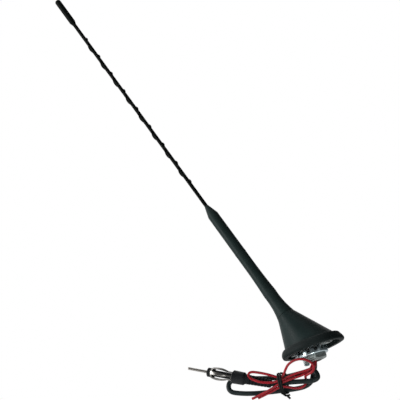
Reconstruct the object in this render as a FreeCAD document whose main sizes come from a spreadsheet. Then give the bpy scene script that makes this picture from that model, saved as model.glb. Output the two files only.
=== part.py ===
import FreeCAD, Part
import math
import operator
import os
import Sketcher

# Car roof antenna: a screw-in mast on a raked foot, clamped through the roof by a toothed cup and a nut.
# Millimetres. The origin is on the axis of the threaded stud, in the roof's outer surface.
# +Z is away from the roof, +X is towards the foot's nose and the mast leans back towards -X.

SIZES = [
    # mast
    ("rake", 20.0, "lean of the mast from the roof's normal, degrees"),
    ("rake_x", -1.0, "where the mast's axis meets the roof plane"),
    ("seam_rise", 39.4, "roof plane to the mast seam, along the mast's axis"),
    ("seam_gap", 0.25, "open seam between the mast sleeve and the foot"),
    ("mast_length", 400.0, "seam to the tip"),
    ("fit_gap", 0.03, "radial gap of pieces pressed or moulded together"),
    ("turn_gap", 0.06, "radial gap of a running thread, drawn as plain walls"),
    ("sleeve_length", 128.6, "length of the mast's handle sleeve"),
    ("sleeve_base_radius", 8.15, "sleeve at the seam"),
    ("sleeve_knee_radius", 5.9, "sleeve where its flare meets the long curve"),
    ("sleeve_knee", 25.0, "height of that knee"),
    ("sleeve_radius", 5.0, "sleeve's straight part"),
    ("sleeve_blend", 57.0, "height where the straight part starts"),
    ("sleeve_cone", 11.0, "length of the sleeve's top cone"),
    ("sleeve_taper", 0.1, "loss of radius up to the top cone"),
    ("sleeve_lip", 0.12, "sleeve's wall at its top edge"),
    ("ring_height", 72.0, "faint ring round the sleeve"),
    ("ring_reach", 0.12, "how far the ring stands proud"),
    ("ring_width", 3.2, "width of the ring"),
    ("ferrule_length", 70.0, "metal ferrule inside the sleeve"),
    ("jacket_start", 0.5, "jacket above the ferrule's top"),
    ("core_relief", 0.5, "ferrule's bore below the rod"),
    ("ferrule_radius", 3.5, "ferrule's barrel"),
    ("flange_radius", 5.0, "ferrule's foot flange"),
    ("flange_thickness", 3.0, "ferrule's foot flange"),
    ("core_seat", 22.0, "height where the whip's core starts in the ferrule"),
    ("mast_stud_radius", 2.5, "M5 stud of the mast"),
    ("mast_stud_length", 8.0, "M5 stud of the mast"),
    ("stud_chamfer", 0.6, "lead chamfer of the M5 stud"),
    ("core_radius", 1.1, "whip's inner rod"),
    ("jacket_radius", 1.7, "whip's jacket"),
    ("ridge_pitch", 23.3, "rise of the spiral ridge per turn"),
    ("ridge_start", 156.5, "height where the ridge starts"),
    ("ridge_margin", 50.0, "from the ridge's top end to the tip"),
    ("ridge_root", 0.2, "how deep the ridge is rooted in the jacket's wall"),
    ("ridge_reach", 0.8, "how far the ridge stands proud of the jacket"),
    ("ridge_width", 1.5, "width of the ridge at the jacket"),
    ("cap_length", 30.0, "tip cap without its lower taper"),
    ("cap_taper", 3.3, "length of the cap's lower taper"),
    ("cap_radius", 2.8, "tip cap"),
    ("cap_dome", 2.2, "corner radius at the tip"),
    ("cap_crown", 8.0, "solid crown above the cap's bore"),
    ("cap_rim", 0.15, "cap's wall at its lower edge"),
    ("cap_room", 0.5, "empty end of the cap beyond the rod"),
    # foot
    ("base_height", 7.5, "roof plane to the foot shell's lower edge"),
    ("shell_front", 24.1, "shell's lower edge, origin to nose"),
    ("shell_rear", 22.9, "shell's lower edge, origin to tail"),
    ("shell_half", 18.8, "shell's lower edge, half width"),
    ("shell_wall", 2.4, "wall of the shell"),
    ("neck_depth", 17.0, "solid neck below the seam, along the mast's axis"),
    ("neck_cavity_radius", 7.6, "cavity radius under the neck"),
    ("side_bow", 1.3, "how flat the oval's sides are, over the least that fits"),
    ("socket_radius", 5.0, "threaded insert in the neck"),
    ("socket_length", 14.0, "threaded insert in the neck"),
    ("socket_bore_depth", 10.5, "bore for the mast's stud"),
    ("boss_x", 13.0, "screw bosses, forward pair"),
    ("boss_y", 10.0, "screw bosses, forward pair"),
    ("boss_rear_x", -16.8, "screw boss, rear"),
    ("boss_radius", 2.9, "screw bosses"),
    ("boss_height", 9.0, "screw bosses, before the wall trims them"),
    ("screw_radius", 1.2, "thread of the base screws"),
    ("screw_reach", 2.2, "base screws above the shell's lower edge"),
    ("pilot_spare", 0.6, "pilot holes beyond the screws' tips"),
    ("screw_head_radius", 2.5, "base screws' heads"),
    ("screw_head_height", 1.6, "base screws' heads"),
    ("screw_play", 0.2, "radial play of a screw in the casting"),
    ("recess_depth", 0.8, "depth of the screws' cross recess"),
    ("recess_length", 2.6, "length of the recess"),
    ("recess_width", 0.6, "width of the recess"),
    # gasket
    ("rim_front", 30.5, "gasket's widest line, origin to nose"),
    ("rim_rear", 26.8, "gasket's widest line, origin to tail"),
    ("rim_half", 24.2, "gasket's widest line, half width"),
    ("rim_height", 1.4, "height of the widest line"),
    ("rim_tuck", 0.6, "how far the gasket's foot draws in"),
    ("belly_height", 4.0, "gasket's belly line"),
    ("belly_front", 1.1, "belly behind the rim at the nose"),
    ("belly_rear", 0.2, "belly behind the rim at the tail"),
    ("belly_half", 0.4, "belly behind the rim at the sides"),
    ("brow_height", 6.5, "gasket's upper line"),
    ("brow_front", 2.4, "brow behind the rim at the nose"),
    ("brow_rear", 1.5, "brow behind the rim at the tail"),
    ("brow_half", 2.2, "brow behind the rim at the sides"),
    ("ledge_front", 3.4, "ledge behind the rim at the nose"),
    ("ledge_rear", 2.9, "ledge behind the rim at the tail"),
    ("ledge_half", 4.0, "ledge behind the rim at the sides"),
    ("gasket_wall", 4.6, "width of the gasket's sealing face"),
    ("lip_width", 3.4, "gasket's inner lip under the shell"),
    ("lip_thickness", 1.0, "gasket's inner lip under the shell"),
    # base casting
    ("plate_thickness", 2.5, "plate of the base casting"),
    ("seat_gap", 0.1, "gap of the casting in the gasket"),
    ("stud_radius", 6.0, "M12 hollow stud"),
    ("stud_bore", 4.6, "bore of the hollow stud"),
    ("stud_end", 9.8, "stud's end below the roof plane"),
    ("stud_bevel", 0.7, "lead bevel of the stud's end"),
    ("hub_radius", 8.2, "raised hub round the stud's root"),
    ("hub_height", 1.2, "raised hub round the stud's root"),
    ("pad_edge", -15.0, "front edge of the rear pad"),
    ("pad_end_gap", 1.6, "rear pad short of the plate's edge"),
    ("pad_margin", 4.0, "rear pad either side of the boss"),
    ("pad_step", 0.6, "rear pad's end, drawn in"),
    ("pad_corner", 2.2, "rear pad's corners"),
    ("pad_depth", 2.6, "rear pad below the plate"),
    ("rib_half", 0.6, "half thickness of the casting's ribs"),
    ("rib_depth", 1.6, "ribs below the plate"),
    ("rib_gap", 0.8, "the casting's front rib and front pad outside the cup"),
    ("rib_end_gap", 1.5, "front rib short of the plate's edge"),
    ("front_pad_length", 4.8, "block under the casting's nose, along the foot"),
    ("front_pad_half", 3.4, "half width of that block"),
    ("front_pad_depth", 3.6, "that block below the plate"),
    ("post_radius", 2.2, "posts under the amplifier board"),
    ("post_height", 4.0, "posts under the amplifier board"),
    ("post_front_x", 5.0, "forward pair of posts"),
    ("post_rear_x", -10.9, "rear pair of posts"),
    ("post_y", 6.6, "both pairs of posts"),
    ("board_screw_radius", 0.9, "thread of the board screws"),
    ("board_head_radius", 1.7, "heads of the board screws"),
    ("board_head_height", 1.1, "heads of the board screws"),
    ("board_screw_depth", 3.5, "board screws below the board"),
    ("tap_spare", 0.3, "tapped holes beyond the board screws' tips"),
    # amplifier
    ("board_front", 7.6, "board's front edge"),
    ("board_rear", -13.6, "board's rear edge"),
    ("board_half", 9.2, "board's half width"),
    ("board_corner", 1.5, "board's corner radius"),
    ("board_thickness", 1.6, "board"),
    ("can_length", 10.0, "screening can"),
    ("can_width", 8.6, "screening can"),
    ("can_height", 4.0, "screening can"),
    ("can_sheet", 0.3, "sheet of the screening can"),
    ("can_x", -2.6, "middle of the screening can"),
    ("contact_width", 3.0, "spring contact from the board to the mast socket"),
    ("throat_play", 0.9, "neck's throat round the contact"),
    ("contact_sheet", 0.3, "sheet of the spring contact"),
    ("contact_foot", 3.2, "contact's foot on the board"),
    ("contact_x", -12.9, "rear end of the contact's foot"),
    # clamp
    ("cup_radius", 12.8, "toothed clamp cup"),
    ("cup_sheet", 1.5, "wall of the clamp cup"),
    ("cup_floor", 4.9, "cup's underside below the roof plane"),
    ("cup_play", 0.3, "radial play of the cup on the stud"),
    ("cup_corner", 1.0, "outer corner radius of the cup"),
    ("cup_clear", 0.1, "tooth tips under the casting"),
    ("tooth_count", 12, "teeth of the cup"),
    ("tooth_root", 2.4, "tooth roots above the cup's underside"),
    ("notch_root", 1.3, "half width of a notch at its root"),
    ("notch_mouth", 2.0, "half width of a notch at its mouth"),
    ("tab_width", 5.2, "the cup's bent tab"),
    ("tab_drop", 5.1, "tab below the cup's underside"),
    ("tab_angle", 170.0, "where the tab stands, degrees from +X"),
    ("tab_relief", 0.2, "tab thinner than the cup's wall"),
    ("tab_corner", 1.4, "tab's lower corners"),
    ("tab_bite", 2.0, "how far the tab's root reaches up the cup's wall"),
    ("nut_flats", 19.0, "roof nut across its flats"),
    ("nut_height", 3.9, "roof nut"),
    ("nut_chamfer", 1.1, "corner chamfer of the nut, along its axis"),
    ("nut_bevel_margin", 0.1425, "chamfer's start inside the flats"),
    ("nut_turn", 12.0, "how far the nut is turned, degrees"),
    ("clamp_gap", 0.05, "nut under the cup"),
    # cables
    ("hank_turn", 200.0, "direction of the cable hank round the stud, degrees"),
    ("coax_diameter", 4.2, "aerial coax"),
    ("lead_diameter", 2.2, "red supply leads"),
    ("bush_top", 4.0, "cable bush, top above the roof plane"),
    ("bush_end", 7.0, "cable bush, lower face below the roof plane"),
    ("cable_play", 0.14, "radial play of the cables in the bush"),
    ("coax_exit_x", 1.8, "coax in the bush, along the hank"),
    ("coax_exit_y", -1.1, "coax in the bush, across the hank"),
    ("long_exit_x", -0.5, "long red lead in the bush"),
    ("long_exit_y", 2.6, "long red lead in the bush"),
    ("short_exit_x", 2.2, "short red lead in the bush"),
    ("short_exit_y", 2.4, "short red lead in the bush"),
    ("exit_height", -10.0, "where the cables leave the nut"),
    ("run_middle", 0.2, "height of the cables' middle point in the stud"),
    ("run_sway", 0.1, "how far that point lies aside"),
    ("tail_gap", 0.1, "cables' inner ends under the board"),
    ("tie_x", 33.6, "twist tie, along the hank"),
    ("tie_y", 0.8, "twist tie, across the hank"),
    ("tie_z", -17.3, "twist tie, height"),
    ("tie_tilt", 9.0, "slope of the hank at the tie, degrees"),
    ("tie_width", 2.1, "twist tie's band"),
    ("tie_sheet", 0.7, "twist tie's band"),
    ("tie_half_depth", 8.1, "inside of the tied loop, across the hank"),
    ("tie_half_height", 8.4, "inside of the tied loop, along the tie"),
    ("tie_corner", 3.5, "inside corners of the tied loop"),
    ("tie_tail_radius", 0.6, "twisted tails of the tie"),
    # plug
    ("plug_x", 43.2, "boot's cable end, along the hank"),
    ("plug_y", 3.0, "boot's cable end, across the hank"),
    ("plug_z", -14.3, "boot's cable end, height"),
    ("plug_tilt", 60.0, "plug's axis from the roof's normal, degrees"),
    ("boot_length", 23.4, "ribbed cable boot"),
    ("boot_radius", 4.3, "boot at the sleeve"),
    ("boot_end_radius", 3.5, "boot at its cable end"),
    ("boot_edge", 0.5, "chamfer of the boot's cable end"),
    ("boot_ribs", 6, "grooves round the boot"),
    ("groove_width", 1.2, "grooves round the boot"),
    ("groove_depth", 0.7, "grooves round the boot"),
    ("groove_slant", 0.2, "slant of the grooves' sides"),
    ("groove_first", 3.0, "first groove from the cable end"),
    ("groove_pitch", 2.9, "grooves round the boot"),
    ("grip_length", 11.6, "plug's moulded sleeve"),
    ("grip_radius", 5.75, "sleeve at the shell"),
    ("grip_back_radius", 5.5, "sleeve at the boot"),
    ("grip_shoulder", 1.4, "sleeve's back chamfer"),
    ("grip_edge", 0.5, "sleeve's front chamfer"),
    ("bulb_neck_radius", 4.2, "plug shell behind its bulb"),
    ("bulb_neck_length", 5.6, "plug shell behind its bulb"),
    ("bulb_radius", 5.7, "plug shell's bulb"),
    ("bulb_length", 14.2, "plug shell's bulb"),
    ("bulb_swell", 0.56, "share of the bulb behind its widest line"),
    ("bulb_nose_radius", 4.5, "front end of the bulb"),
    ("bulb_sheet", 0.5, "sheet of the plug shell"),
    ("bulb_slots", 6, "slots of the plug shell"),
    ("slot_half", 1.45, "half width of a slot"),
    ("slot_root", 0.6, "slots' closed end in front of the sleeve"),
    ("slot_land", 1.6, "closed front end of the slots"),
    ("shell_tail", 8.0, "plug shell inside the sleeve"),
    ("washer_radius", 3.95, "insulator at the plug's front"),
    ("washer_length", 3.7, "insulator at the plug's front"),
    ("washer_gap", 0.02, "washer in front of the shell's nose"),
    ("washer_edge", 0.4, "washer's front chamfer"),
    ("nose_seat", 2.0, "insulator's seat in the shell's nose"),
    ("nose_step", 1.2, "insulator's core inside that seat"),
    ("insulator_tail", 18.0, "insulator behind its washer"),
    ("pin_radius", 1.2, "plug's centre pin"),
    ("pin_length", 18.9, "centre pin in front of the insulator"),
    ("pin_nose", 0.8, "rounding of the pin's end"),
    ("pin_tail_radius", 0.9, "centre pin inside the insulator"),
    ("pin_stub", 1.0, "centre pin behind the insulator"),
]

doc = FreeCAD.newDocument("CarAntenna")
sheet = doc.addObject("Spreadsheet::Sheet", "Sizes")
for row, (alias, value, note) in enumerate(SIZES, start=1):
    sheet.set("A%d" % row, alias)
    sheet.set("B%d" % row, repr(value))
    sheet.set("C%d" % row, note)
    sheet.setAlias("B%d" % row, alias)
doc.recompute()

OPERATORS = {"+": operator.add, "-": operator.sub, "*": operator.mul, "/": operator.truediv}


class Size:
    """A number together with the sheet expression that gives it, so both follow the sheet."""

    def __init__(self, number, text=None):
        self.number = float(number)
        self.text = text if text else "%.9g" % number

    def join(self, sign, other):
        other = other if isinstance(other, Size) else Size(other)
        number = OPERATORS[sign](self.number, other.number)
        return Size(number, "(%s %s %s)" % (self.text, sign, other.text))

    def __add__(self, other):
        return self.join("+", other)

    def __sub__(self, other):
        return self.join("-", other)

    def __mul__(self, other):
        return self.join("*", other)

    def __truediv__(self, other):
        return self.join("/", other)

    def __neg__(self):
        return Size(-self.number, "(0 - %s)" % self.text)

    def __rsub__(self, other):
        return Size(other).join("-", self)

    __radd__ = __add__
    __rmul__ = __mul__


def size(alias):
    """One cell of the sheet."""
    return Size(sheet.get(alias), "Sizes." + alias)


def sine(angle):
    return Size(math.sin(math.radians(angle.number)), "sin(%s)" % angle.text)


def cosine(angle):
    return Size(math.cos(math.radians(angle.number)), "cos(%s)" % angle.text)


def root(value):
    return Size(math.sqrt(value.number), "sqrt(%s)" % value.text)


def larger(one, two):
    return Size(max(one.number, two.number), "max(%s; %s)" % (one.text, two.text))


ZERO = Size(0)
parts = []


def bind(item, prop, value):
    """Tie one property to the sheet."""
    if isinstance(value, Size):
        item.setExpression(prop, value.text)
    else:
        setattr(item, prop, value)


def keep(item, label):
    """Make an object one of the part's own pieces."""
    item.Label = label
    parts.append(item)
    return item


# Sketch helpers


def attach(item, body, plane):
    """Lay a sketch on one of the body's own origin planes, or in space if it has no body."""
    if body is None:
        return
    role = plane + "_Plane"
    support = next(face for face in body.Origin.OriginFeatures if face.Role == role)
    item.AttachmentSupport = [(support, "")]
    item.MapMode = "FlatFace"


def new_sketch(body, name, plane="XY", height=None):
    """A sketch on an origin plane, lifted off it by height."""
    if body is None:
        item = doc.addObject("Sketcher::SketchObject", name)
    else:
        item = body.newObject("Sketcher::SketchObject", name)
    attach(item, body, plane)
    if height is not None:
        prop = "Placement.Base.z" if body is None else "AttachmentOffset.Base.z"
        item.setExpression(prop, height.text)
    return item


def pin_point(item, edge, end, x, y):
    """Dimension one end of an edge from the sketch's origin."""
    for kind, value, axis in (("DistanceX", x, -2), ("DistanceY", y, -1)):
        if value.text == ZERO.text:
            item.addConstraint(Sketcher.Constraint("PointOnObject", edge, end, axis))
            continue
        number = item.addConstraint(Sketcher.Constraint(kind, edge, end, value.number))
        item.setExpression("Constraints[%d]" % number, value.text)


def bent_edge(start, stop, radius, turn):
    """Arc from start to stop; turn is 1 where its centre lies to the left of the way, -1 to the right."""
    first = FreeCAD.Vector(start[0].number, start[1].number, 0)
    last = FreeCAD.Vector(stop[0].number, stop[1].number, 0)
    chord = last - first
    left = FreeCAD.Vector(-chord.y, chord.x, 0).normalize()
    half = chord.Length / 2
    rise = radius.number - math.sqrt(radius.number**2 - half**2)
    middle = (first + last) * 0.5 - left * (turn * rise)
    return Part.Arc(first, middle, last)


def outline(item, corners):
    """A closed profile through the corners. A corner is (x, y), or (x, y, radius, turn) where an arc leaves it."""
    corners = [tuple(c if isinstance(c, (Size, int)) else Size(c) for c in corner) for corner in corners]
    ends = []
    for here, there in zip(corners, corners[1:] + corners[:1]):
        if len(here) == 4:
            edge = item.addGeometry(bent_edge(here, there, here[2], here[3]), False)
            ends.append((edge, 1, 2) if here[3] > 0 else (edge, 2, 1))
        else:
            line = Part.LineSegment(
                FreeCAD.Vector(here[0].number, here[1].number, 0),
                FreeCAD.Vector(there[0].number, there[1].number, 0),
            )
            ends.append((item.addGeometry(line, False), 1, 2))
    for (edge, _, last), (following, first, _) in zip(ends, ends[1:] + ends[:1]):
        item.addConstraint(Sketcher.Constraint("Coincident", edge, last, following, first))
    for (edge, first, _), corner in zip(ends, corners):
        pin_point(item, edge, first, corner[0], corner[1])
        if len(corner) == 4:
            number = item.addConstraint(Sketcher.Constraint("Radius", edge, corner[2].number))
            item.setExpression("Constraints[%d]" % number, corner[2].text)


def circle(item, x, y, radius):
    """A full circle, dimensioned from the sketch's origin."""
    round_edge = Part.Circle(FreeCAD.Vector(x.number, y.number, 0), FreeCAD.Vector(0, 0, 1), radius.number)
    edge = item.addGeometry(round_edge, False)
    pin_point(item, edge, 3, x, y)
    number = item.addConstraint(Sketcher.Constraint("Radius", edge, radius.number))
    item.setExpression("Constraints[%d]" % number, radius.text)


def rectangle(item, left, right, low, high):
    outline(item, [(left, low), (right, low), (right, high), (left, high)])


def oval(item, front, rear, half, inset=ZERO):
    """Egg-shaped outline of four tangent arcs: nose, side, tail, side, drawn in by inset."""
    reach = larger(front, rear)
    side = size("side_bow") * (reach * reach + half * half) / (half * 2)
    drop = side - half

    def end_arc(length):
        radius = (length * length + drop * drop - side * side) / ((length - side) * 2)
        offset = length - radius
        low = (radius - inset) / (side - radius)
        return radius - inset, offset * side / (side - radius) - inset * offset / (side - radius), drop * low

    nose, nose_x, nose_y = end_arc(front)
    tail, tail_x, tail_y = end_arc(rear)
    flank = side - inset
    outline(
        item,
        [
            (nose_x, -nose_y, nose, 1),
            (nose_x, nose_y, flank, 1),
            (-tail_x, tail_y, tail, 1),
            (-tail_x, -tail_y, flank, 1),
        ],
    )


def four_arcs(item, radius):
    """A circle drawn as four equal arcs, to pair with an oval's arcs."""
    share = radius * math.sqrt(0.5)
    outline(
        item,
        [(share, -share, radius, 1), (share, share, radius, 1), (-share, share, radius, 1), (-share, -share, radius, 1)],
    )


# Feature helpers


def new_body(label):
    body = doc.addObject("PartDesign::Body", label + "_body")
    return keep(body, label)


def pad(body, name, profile, length, down=False):
    item = body.newObject("PartDesign::Pad", name)
    item.Profile = profile
    bind(item, "Length", length)
    item.Reversed = down
    profile.Visibility = False
    return item


def pocket(body, name, profile, length, up=False):
    """A cut that runs below its sketch, or above it if up."""
    item = body.newObject("PartDesign::Pocket", name)
    item.Profile = profile
    bind(item, "Length", length)
    item.Reversed = up
    profile.Visibility = False
    return item


def through(body, name, profile):
    item = body.newObject("PartDesign::Pocket", name)
    item.Profile = profile
    item.Type = 1
    item.Midplane = True
    profile.Visibility = False
    return item


def revolve(body, name, profile, cut=False):
    item = body.newObject("PartDesign::Groove" if cut else "PartDesign::Revolution", name)
    item.Profile = profile
    item.ReferenceAxis = (profile, ["V_Axis"])
    item.Angle = 360
    profile.Visibility = False
    return item


def turned(label, corners):
    """A body turned about Z from one half profile of radii and heights."""
    body = new_body(label)
    profile = new_sketch(body, label + "_profile", "XZ")
    outline(profile, corners)
    revolve(body, label + "_turn", profile)
    return body


def polar(body, name, feature, profile, count):
    item = body.newObject("PartDesign::PolarPattern", name)
    item.Originals = [feature]
    item.Axis = (profile, ["N_Axis"])
    item.Angle = 360
    bind(item, "Occurrences", count)
    body.Tip = item
    return item


def solid_cylinder(name, radius, height, x, y, z):
    item = doc.addObject("Part::Cylinder", name)
    bind(item, "Radius", radius)
    bind(item, "Height", height)
    for axis, value in (("x", x), ("y", y), ("z", z)):
        item.setExpression("Placement.Base." + axis, value.text)
    return item


def join(kind, name, base, tool):
    item = doc.addObject("Part::" + kind, name)
    item.Base = base
    item.Tool = tool
    return item


def fuse(name, shapes):
    item = doc.addObject("Part::MultiFuse", name)
    item.Shapes = shapes
    return item


def loft(name, sections, ruled):
    item = doc.addObject("Part::Loft", name)
    item.Sections = sections
    item.Solid = True
    item.Ruled = ruled
    return item


# Frames of the mast, the hank of cable and the plug

rake = size("rake")
seam_x = size("rake_x") - size("seam_rise") * sine(rake)
seam_z = size("seam_rise") * cosine(rake)


def along_mast(distance):
    """Point on the mast's axis, this far above the seam."""
    return (
        seam_x - distance * sine(rake),
        seam_z + distance * cosine(rake),
    )


def lean(item, distance=ZERO):
    """Stand a piece on the mast's axis, this far above the seam."""
    x, z = along_mast(distance)
    turn = FreeCAD.Rotation(FreeCAD.Vector(0, 1, 0), -rake.number)
    item.Placement = FreeCAD.Placement(FreeCAD.Vector(x.number, 0, z.number), turn)
    item.setExpression("Placement.Base.x", x.text)
    item.setExpression("Placement.Base.z", z.text)


hank_frame = FreeCAD.Placement(
    FreeCAD.Vector(0, 0, 0),
    FreeCAD.Rotation(FreeCAD.Vector(0, 0, 1), size("hank_turn").number),
)


def in_hank(x, y, z, tilt=0.0):
    """Placement at a point of the hank's own frame, with the piece's Z tilted along the hank."""
    spot = FreeCAD.Vector(x, y, z)
    turn = FreeCAD.Rotation(FreeCAD.Vector(0, 1, 0), tilt)
    return hank_frame.multiply(FreeCAD.Placement(spot, turn))


# Mast


def make_tip_cap():
    top = size("mast_length")
    shoulder = top - size("cap_length")
    low = shoulder - size("cap_taper")
    dome = size("cap_dome")
    inner = size("jacket_radius") + size("fit_gap")
    crown = top - size("cap_crown")
    skin = inner + size("cap_rim")
    body = turned(
        "whip_tip_cap",
        [
            (inner, low),
            (skin, low),
            (size("cap_radius"), shoulder),
            (size("cap_radius"), top - dome, dome, 1),
            (size("cap_radius") - dome, top),
            (ZERO, top),
            (ZERO, crown),
            (inner, crown),
        ],
    )
    lean(body)


def make_whip():
    end = size("mast_length") - size("cap_crown") - size("cap_room")
    core = turned(
        "whip_core",
        [
            (ZERO, size("core_seat")),
            (size("core_radius"), size("core_seat")),
            (size("core_radius"), end),
            (ZERO, end),
        ],
    )
    lean(core)
    radius = size("jacket_radius")
    bore = size("core_radius") + size("fit_gap")
    start = size("ferrule_length") + size("jacket_start")
    jacket = turned("whip_jacket", [(bore, start), (radius, start), (radius, end), (bore, end)])
    profile = new_sketch(jacket, "ridge_profile", "XZ")
    root_radius = radius - size("ridge_root")
    half = size("ridge_width") / 2
    crest = radius + size("ridge_reach")
    bottom = size("ridge_start")
    outline(
        profile,
        [
            (root_radius, bottom - half),
            (radius, bottom - half),
            (crest, bottom - half / 3),
            (crest, bottom + half / 3),
            (radius, bottom + half),
            (root_radius, bottom + half),
        ],
    )
    ridge = jacket.newObject("PartDesign::AdditiveHelix", "ridge")
    ridge.Profile = profile
    ridge.ReferenceAxis = (profile, ["V_Axis"])
    ridge.Mode = 0
    bind(ridge, "Pitch", size("ridge_pitch"))
    bind(ridge, "Height", size("mast_length") - size("ridge_margin") - bottom)
    ridge.LeftHanded = False
    lean(jacket)


def make_ferrule():
    radius = size("ferrule_radius")
    top = size("ferrule_length")
    stud = size("mast_stud_radius")
    deep = size("mast_stud_length")
    chamfer = size("stud_chamfer")
    bore = size("core_radius") + size("fit_gap")
    body = turned(
        "mast_ferrule",
        [
            (ZERO, -deep),
            (stud - chamfer, -deep),
            (stud, chamfer - deep),
            (stud, ZERO),
            (size("flange_radius"), ZERO),
            (size("flange_radius"), size("flange_thickness")),
            (radius, size("flange_thickness")),
            (radius, top),
            (bore, top),
            (bore, size("core_seat") - size("core_relief")),
            (ZERO, size("core_seat") - size("core_relief")),
        ],
    )
    lean(body)


def make_sleeve():
    gap = size("fit_gap")
    base = size("seam_gap")
    knee_r, knee = size("sleeve_knee_radius"), size("sleeve_knee")
    barrel, blend = size("sleeve_radius"), size("sleeve_blend")
    foot_r = size("sleeve_base_radius")
    rise = blend - knee
    fall = knee_r - barrel
    upper = (rise * rise + fall * fall) / (fall * 2)
    # the lower arc leaves the knee in the upper arc's direction, its centre on the same line
    run = knee - base
    spread = foot_r - knee_r
    toward_x = (barrel + upper - knee_r) / upper
    toward_y = rise / upper
    lower = (run * run + spread * spread) / ((spread * toward_x + run * toward_y) * 2)
    ring = size("ring_height")
    half = size("ring_width") / 2
    ring_r = barrel + size("ring_reach")
    top = size("sleeve_length")
    body = turned(
        "mast_sleeve",
        [
            (size("flange_radius") + gap, base),
            (foot_r, base, lower, -1),
            (knee_r, knee, upper, -1),
            (barrel, blend),
            (barrel, ring - half),
            (ring_r, ring - half / 3),
            (ring_r, ring + half / 3),
            (barrel, ring + half),
            (barrel - size("sleeve_taper"), top - size("sleeve_cone")),
            (size("jacket_radius") + gap + size("sleeve_lip"), top),
            (size("jacket_radius") + gap, top),
            (size("jacket_radius") + gap, size("ferrule_length") + gap),
            (size("ferrule_radius") + gap, size("ferrule_length") + gap),
            (size("ferrule_radius") + gap, size("flange_thickness") + gap),
            (size("flange_radius") + gap, size("flange_thickness") + gap),
        ],
    )
    lean(body)


# Foot


def seam_section(name, radius, depth):
    """Circle across the mast's axis, this far below the seam."""
    item = new_sketch(None, name)
    four_arcs(item, radius)
    lean(item, -depth)
    return item


def make_shell():
    base = size("base_height")
    wall = size("shell_wall")
    front, rear, half = size("shell_front"), size("shell_rear"), size("shell_half")
    foot = new_sketch(None, "shell_foot", height=base)
    oval(foot, front, rear, half)
    outer = loft("shell_outside", [foot, seam_section("shell_seam", size("sleeve_base_radius"), ZERO)], True)
    inner_foot = new_sketch(None, "cavity_foot", height=base)
    oval(inner_foot, front, rear, half, wall)
    top = seam_section("cavity_top", size("neck_cavity_radius"), size("neck_depth"))
    cavity = loft("shell_cavity", [inner_foot, top], True)
    tall = size("boss_height")
    bosses = fuse(
        "shell_bosses",
        [
            solid_cylinder("boss_left", size("boss_radius"), tall, size("boss_x"), size("boss_y"), base),
            solid_cylinder("boss_right", size("boss_radius"), tall, size("boss_x"), -size("boss_y"), base),
            solid_cylinder("boss_rear", size("boss_radius"), tall, size("boss_rear_x"), ZERO, base),
        ],
    )
    hollow = join("Cut", "shell_hollow", cavity, bosses)
    walls = join("Cut", "shell_walls", outer, hollow)
    socket = solid_cylinder(
        "socket_seat",
        size("socket_radius") + size("fit_gap"),
        size("socket_length") + 1,
        ZERO,
        ZERO,
        ZERO,
    )
    lean(socket, -size("socket_length"))
    wide = size("contact_width") / 2 + size("throat_play")
    throat = solid_cylinder("neck_throat", wide, size("neck_depth") * 2, ZERO, ZERO, ZERO)
    lean(throat, -size("neck_depth") * 1.5)
    holes = [socket, throat]
    reach = size("screw_reach") + size("pilot_spare")
    for name, x, y in screw_spots():
        holes.append(
            solid_cylinder("pilot_" + name, size("screw_radius") + size("fit_gap"), reach, x, y, base)
        )
    shell = join("Cut", "foot_shell_solid", walls, fuse("shell_holes", holes))
    keep(shell, "foot_shell")


def screw_spots():
    return [
        ("left", size("boss_x"), size("boss_y")),
        ("right", size("boss_x"), -size("boss_y")),
        ("rear", size("boss_rear_x"), ZERO),
    ]


def make_socket():
    radius = size("socket_radius")
    bore = size("mast_stud_radius") + size("turn_gap")
    low = -size("socket_length")
    body = turned(
        "mast_socket",
        [
            (ZERO, low),
            (radius, low),
            (radius, ZERO),
            (bore, ZERO),
            (bore, -size("socket_bore_depth")),
            (ZERO, -size("socket_bore_depth")),
        ],
    )
    lean(body)


def gasket_line(name, height, front, rear, half):
    item = new_sketch(None, name, height=height)
    oval(item, size("rim_front") - front, size("rim_rear") - rear, size("rim_half") - half)
    return item


def make_gasket():
    tuck = size("rim_tuck")
    sections = [
        gasket_line("gasket_foot", ZERO, tuck, tuck, tuck),
        gasket_line("gasket_rim", size("rim_height"), ZERO, ZERO, ZERO),
        gasket_line("gasket_belly", size("belly_height"), size("belly_front"), size("belly_rear"), size("belly_half")),
        gasket_line("gasket_brow", size("brow_height"), size("brow_front"), size("brow_rear"), size("brow_half")),
        gasket_line("gasket_ledge", size("base_height"), size("ledge_front"), size("ledge_rear"), size("ledge_half")),
    ]
    band = loft("gasket_band", sections, False)
    room = doc.addObject("Part::Extrusion", "gasket_room")
    room.Base = rim_inset("gasket_room_line", ZERO, size("gasket_wall"))
    room.Dir = FreeCAD.Vector(0, 0, 1)
    room.DirMode = "Custom"
    room.Solid = True
    bind(room, "LengthFwd", size("base_height") - size("lip_thickness"))
    window = doc.addObject("Part::Extrusion", "gasket_window")
    window.Base = rim_inset("gasket_window_line", ZERO, size("gasket_wall") + size("lip_width"))
    window.Dir = FreeCAD.Vector(0, 0, 1)
    window.DirMode = "Custom"
    window.Solid = True
    bind(window, "LengthFwd", size("base_height") + 1)
    gasket = join("Cut", "foot_gasket_solid", band, fuse("gasket_hollow", [room, window]))
    keep(gasket, "foot_gasket")


def rim_inset(name, height, inset):
    item = new_sketch(None, name, height=height)
    oval(item, size("rim_front"), size("rim_rear"), size("rim_half"), inset)
    return item


def plate_under():
    """Underside of the casting's plate."""
    return size("base_height") - size("lip_thickness") - size("plate_thickness")


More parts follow.
